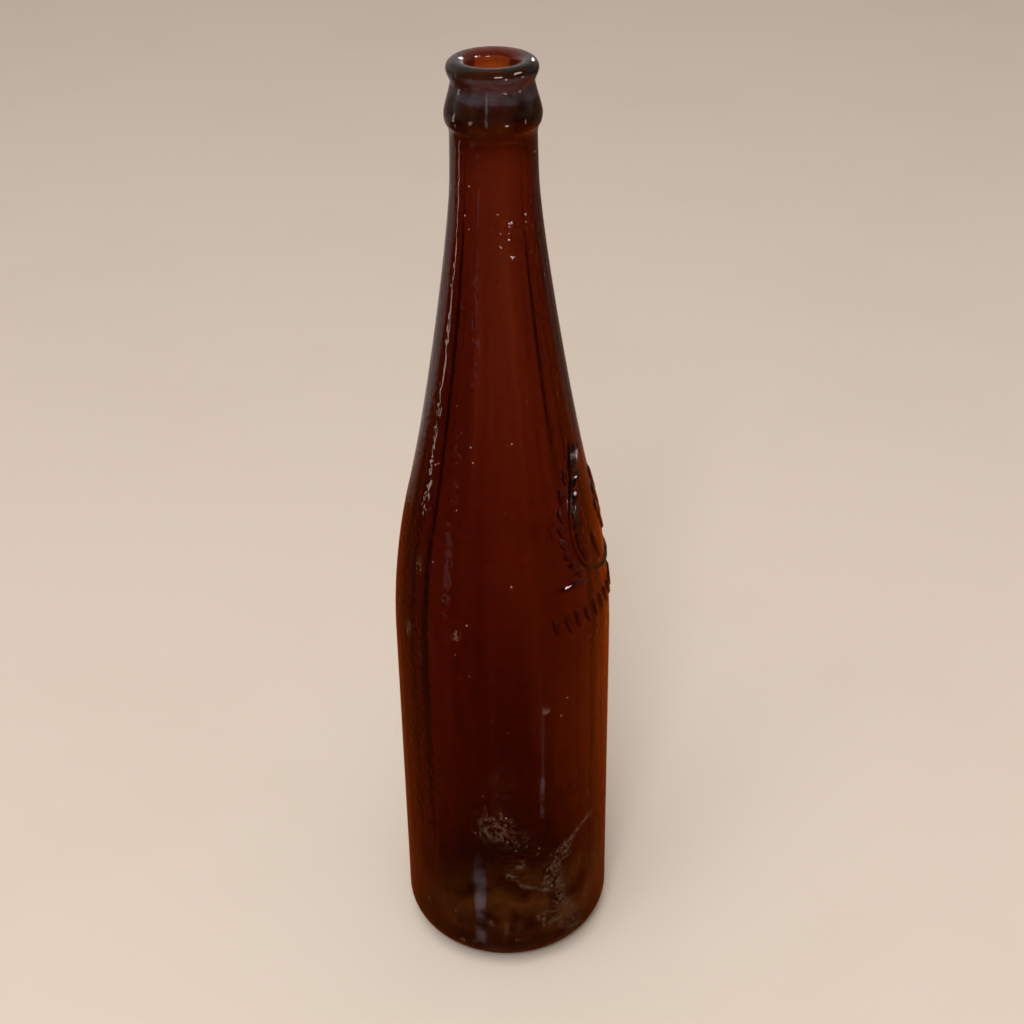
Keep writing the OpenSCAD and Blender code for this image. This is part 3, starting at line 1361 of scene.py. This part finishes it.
    def dust_and_glow(self, at: Spots) -> np.ndarray:
        """Strength of the brown dust veil, thicker towards the heel and uneven round the bottle; low down it
        is also a painted glow of light coming through the base.

        Args:
            at: Places on the wall.

        Returns:
            The strength at each place.
        """
        turn, _, z = at
        reach = 0.058 + 0.008 * np.sin(turn + 1.0) + 0.005 * np.sin(3 * turn)
        side = 0.5 + 0.5 * np.cos(turn - math.radians(self.dustiest))
        thick = (1 - soft_step(0.35, 1.0, z / reach)) * soft_step(0.004, 0.030, z)
        low = (0.12 + 0.88 * thick) * (1 - soft_step(0.8, 1.0, z / reach)) * (0.04 + 0.62 * side)
        finish = soft_step(self.form.finish_z - 0.001, self.form.finish_z + 0.002, z)
        return low + self.finish_dust * finish

    def pale_dust_and_sheen(self, at: Spots) -> np.ndarray:
        """Strength of the pale dust and painted sheen: bands and lines low down, some of them painted
        reflections and glints, the worn skirt of the finish with a painted mauve sheen, and a thin line
        under the ring.

        Args:
            at: Places on the wall.

        Returns:
            The strength at each place.
        """
        form, (turn, _, z) = self.form, at
        # the skirt's pale haze: worn glass with a painted mauve sheen
        skirt = soft_step(form.finish_z + 0.0094, form.finish_z + 0.0110, z)
        skirt = skirt * (1 - soft_step(form.height - 0.0028, form.height - 0.0010, z)) * 0.60
        under = np.exp(-(((z - form.finish_z - 0.0016 - 0.0005 * np.sin(3 * turn)) / 0.0006) ** 2)) * 0.5
        low = np.maximum(self.round_marks(self.bands, at), self.run_marks(self.lines, at))
        return np.maximum.reduce([low, skirt, under])

    def layers(self, at: Spots) -> dict[str, np.ndarray]:
        """Strength of each kind of dirt.

        Args:
            at: Places on the wall.

        Returns:
            The strengths at each place, by the name the finish reads them under.
        """
        return {
            "dust_and_glow": self.dust_and_glow(at),
            "pale_dust_and_sheen": self.pale_dust_and_sheen(at),
            "marks": np.maximum(self.round_marks(self.blots, at), self.run_marks(self.runs, at)),
            "scuff": self.round_marks(self.scuffs, at),
        }

    def wall_grid(self) -> bmesh.types.BMesh:
        """The film's mesh: the outer wall from the heel up, left out where the ornament stands.

        Returns:
            The mesh.
        """
        form = self.form
        rows = heights(form.heel_r, form.relief_low, 0.0008)
        rows += heights(form.relief_low, form.relief_high, 0.0012)
        rows += heights(form.relief_high, form.finish_z, 0.004)
        wall = [(float(form.outer_radius(z)), z) for z in rows]
        heel = [p for p in form.heel_run(24) if p[1] > self.low]
        crown = [p for p in form.finish_run() if p[1] < self.high]
        bm = bmesh.new()
        spin_outline(bm, heel + wall + crown, [(FULL_TURN, self.columns)], 0.0)
        middles = [(face, face.calc_center_median()) for face in bm.faces]
        over = [face for face, c in middles if form.by_ornament(math.atan2(c.y, c.x), c.z, BARE_HALF)]
        bmesh.ops.delete(bm, geom=over, context="FACES")
        return bm

    def build(self) -> bpy.types.Object:
        """Makes the film.

        Returns:
            The object.
        """
        bm = self.wall_grid()
        dirty = np.maximum.reduce(list(self.layers(polar(bm)).values())) > self.faintest
        bm.verts.index_update()
        clean = [face for face in bm.faces if not any(dirty[corner.index] for corner in face.verts)]
        bmesh.ops.delete(bm, geom=clean, context="FACES")
        at = polar(bm)
        set_polar(bm, at._replace(r=at.r + self.surface.outside(at, self.form) + self.lift))
        bmesh.ops.recalc_face_normals(bm, faces=bm.faces)
        piece = finish_piece(bm, "dried_dirt", self.finish.material())
        for name, values in self.layers(at).items():
            layer = piece.data.attributes.new(name, "FLOAT", "POINT")
            layer.data.foreach_set("value", values.astype(np.float32))
        return piece


@dataclass
class DustFlakes:
    """Loose flakes of dust that cling to the outside."""

    form: BottleForm
    surface: OldGlass
    finish: SpeckFinish = SpeckFinish()
    count: int = 420
    smallest: float = 0.00010
    largest: float = 0.00034
    flatness: float = 0.35
    sunk: float = 0.1

    def build(self) -> bpy.types.Object:
        """Scatters the flakes, the same on each run.

        Returns:
            The object.
        """
        rng = np.random.default_rng(SEED)
        bm = bmesh.new()
        for _ in range(self.count):
            turn = rng.uniform(-math.pi, math.pi)
            z = rng.uniform(0.012, self.form.finish_z - 0.004)
            if self.form.by_ornament(turn, z, BARE_HALF):
                continue
            size = mix(self.smallest, self.largest, rng.random() ** 3)
            r = float(self.form.outer_radius(z))
            spot = Spots(*(np.array([value]) for value in (turn, r, z)))
            r += float(self.surface.outside(spot, self.form)[0])
            flake = bmesh.ops.create_icosphere(bm, subdivisions=1, radius=1.0)["verts"]
            squash = Matrix.Diagonal((size * self.flatness, size, size * rng.uniform(0.6, 1.5), 1.0))
            spin = Matrix.Rotation(rng.uniform(0, math.pi), 4, "X")
            out = Matrix.Rotation(turn, 4, "Z") @ Matrix.Translation((r - size * self.sunk, 0.0, z))
            bmesh.ops.transform(bm, matrix=out @ spin @ squash, verts=flake)
        return finish_piece(bm, "dust_flakes", self.finish.material())


# ---------------------------------------------------------------- studio


class Reach(Enum):
    """What a light does."""

    ROOM = "lights dull surfaces, and makes no highlight"
    GLINT = "shows only as a highlight in shiny surfaces"
    THROUGH = "shows only through clear glass"


@dataclass(frozen=True)
class Softbox:
    """One soft rectangular light.

    Attributes:
        name: Its name.
        turn: Angle round the bottle in degrees; -90 is the camera's side.
        away: Distance from the bottle's axis in metres.
        up: Height of its middle in metres.
        size: Width and height in metres.
        glow: Brightness of its face, in watts per square metre of face.
        tint: Its colour.
        reach: What it lights.
    """

    name: str
    turn: float
    away: float
    up: float
    size: Point
    glow: float
    tint: tuple[float, float, float] = (1.0, 1.0, 1.0)
    reach: Reach = Reach.GLINT

    def build(self, aim: Vector) -> bpy.types.Object:
        """Makes the light, facing the aim.

        Args:
            aim: Point that the light faces.

        Returns:
            The light object.
        """
        lamp = bpy.data.lights.new(self.name, "AREA")
        lamp.shape = "RECTANGLE"
        lamp.size, lamp.size_y = self.size
        lamp.energy = self.glow * self.size[0] * self.size[1]
        lamp.color = self.tint
        thing = stand(self.name, lamp)
        a = math.radians(self.turn)
        thing.location = (self.away * math.cos(a), self.away * math.sin(a), self.up)
        facing = aim - thing.location
        if self.reach is not Reach.ROOM:
            facing.z = 0.0
        thing.rotation_euler = facing.to_track_quat("-Z", "Y").to_euler()
        thing.visible_camera = False
        thing.visible_glossy = self.reach is Reach.GLINT
        thing.visible_diffuse = self.reach is Reach.ROOM
        thing.visible_transmission = self.reach is not Reach.GLINT
        return thing


@dataclass
class Studio:
    """Floor, surroundings, soft lights and the camera."""

    form: BottleForm
    surface: TableFinish = TableFinish()
    floor_half: float = 12.0
    wall: Colour = (0.70, 0.62, 0.59, 1.0)
    room: Colour = (0.09, 0.075, 0.085, 1.0)
    room_power: float = 0.75
    wall_from: Point = (-0.25, 0.35)
    dim_from: Point = (0.1, 0.7)
    right_dimmer: float = 0.6
    # the camera, as shares of the bottle's height, and its turns in degrees
    camera_back: float = 1.5213
    camera_up: float = 1.4612
    lens: float = 61.49
    yaw: float = 0.436
    pitch: float = 31.44
    roll: float = -0.862
    lights: tuple[Softbox, ...] = (
        Softbox("overhead", -112.0, 0.75, 2.1, (1.3, 1.3), 14.0, (1.0, 0.98, 0.95), Reach.ROOM),
        Softbox("front key", -99.0, 1.35, 1.45, (0.45, 0.45), 78.0, (1.0, 0.98, 0.95), Reach.ROOM),
        Softbox("left strip", 170.0, 0.42, 0.19, (0.020, 0.23), 9.0, (1.0, 0.92, 0.86)),
        Softbox("upper band", -129.0, 0.42, 0.182, (0.050, 0.035), 1.3, (0.80, 0.72, 1.0)),
        Softbox("lower band", -149.0, 0.42, 0.055, (0.050, 0.11), 0.9, (0.88, 0.74, 1.0)),
        Softbox("seam glint", -142.0, 0.42, 0.27, (0.025, 0.09), 14.0, (0.92, 0.94, 1.0)),
        Softbox("skirt glint", -58.0, 0.45, 0.25, (0.045, 0.05), 40.0, (1.0, 0.99, 0.97)),
        Softbox("side glint", -12.0, 0.45, 0.24, (0.030, 0.10), 12.0, (1.0, 0.95, 0.90)),
        Softbox("high window", -75.0, 1.30, 1.05, (0.50, 0.35), 42.0, (0.97, 0.98, 1.0)),
        Softbox("high right", -15.0, 1.00, 1.00, (0.40, 0.30), 60.0, (1.0, 0.98, 0.96)),
        Softbox("back lamp", 72.0, 1.20, 0.66, (0.26, 0.10), 30.0, (1.0, 0.99, 0.96)),
        Softbox("mouth glow", 90.0, 0.05, 0.314, (0.026, 0.022), 2.3, (1.0, 0.92, 0.1), Reach.THROUGH),
    )

    def build_floor(self) -> bpy.types.Object:
        """Lays the pale floor.

        Returns:
            The floor object.
        """
        bm = bmesh.new()
        bmesh.ops.create_grid(bm, x_segments=2, y_segments=2, size=self.floor_half)
        floor = dressed(bm, "floor", self.surface.material())
        return floor

    def build_world(self) -> None:
        """Lights the room: shiny things mirror a pale wall at the back left, and dimness elsewhere."""
        world = bpy.data.worlds.new("room")
        world.use_nodes = True
        g = Graph(world.node_tree)
        aim = g.split(g.add("ShaderNodeTexCoord").outputs["Generated"])
        right = g.times(g.ramp(aim["X"], *self.dim_from), self.right_dimmer)
        back = g.times(g.ramp(aim["Y"], *self.wall_from), g.rest(right))
        plain = g.rest(g.add("ShaderNodeLightPath").outputs["Is Glossy Ray"])
        seen = g.blend(g.maths("MAXIMUM", back, plain), self.room, self.wall)
        g.feed(world.node_tree.nodes["Background"], {"Color": seen, "Strength": self.room_power})
        bpy.context.scene.world = world

    def build_camera(self) -> bpy.types.Object:
        """Places the camera in front, above and looking down.

        Returns:
            The camera object.
        """
        yaw, pitch, roll = (math.radians(a) for a in (self.yaw, self.pitch, self.roll))
        ahead = Vector((math.sin(yaw) * math.cos(pitch), math.cos(yaw) * math.cos(pitch), -math.sin(pitch)))
        level = Vector((math.cos(yaw), -math.sin(yaw), 0.0))
        top = level.cross(ahead)
        right = level * math.cos(roll) + top * math.sin(roll)
        turned = Matrix((right, right.cross(ahead), -ahead)).transposed()
        lens = bpy.data.cameras.new("camera")
        lens.lens = self.lens
        camera = stand("camera", lens)
        camera.location = (0.0, -self.camera_back * self.form.height, self.camera_up * self.form.height)
        camera.rotation_euler = turned.to_euler()
        bpy.context.scene.camera = camera
        return camera

    def build(self) -> None:
        """Builds the whole studio."""
        self.build_floor()
        self.build_world()
        aim = Vector((0.0, 0.0, self.form.height * 0.5))
        for light in self.lights:
            light.build(aim)
        self.build_camera()
        bpy.context.scene.view_settings.view_transform = "Standard"


def main() -> None:
    """Builds the bottle, its dirt and the studio, and reports each piece."""
    logging.basicConfig(level=logging.INFO, format="%(name)s: %(message)s")
    low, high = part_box("bottle")
    form = BottleForm(height=high[2] - low[2], body_r=min(-low[0], high[1], -low[1]) - SKIN)
    surface = OldGlass()
    parts = (
        GlassBottle(form, Ornament(), surface),
        DriedDirt(form, surface),
        DustFlakes(form, surface),
    )
    for part in parts:
        piece = part.build()
        LOG.info("%s: %d faces", piece.name, len(piece.data.polygons))
    Studio(form).build()


if __name__ == "__main__":
    main()
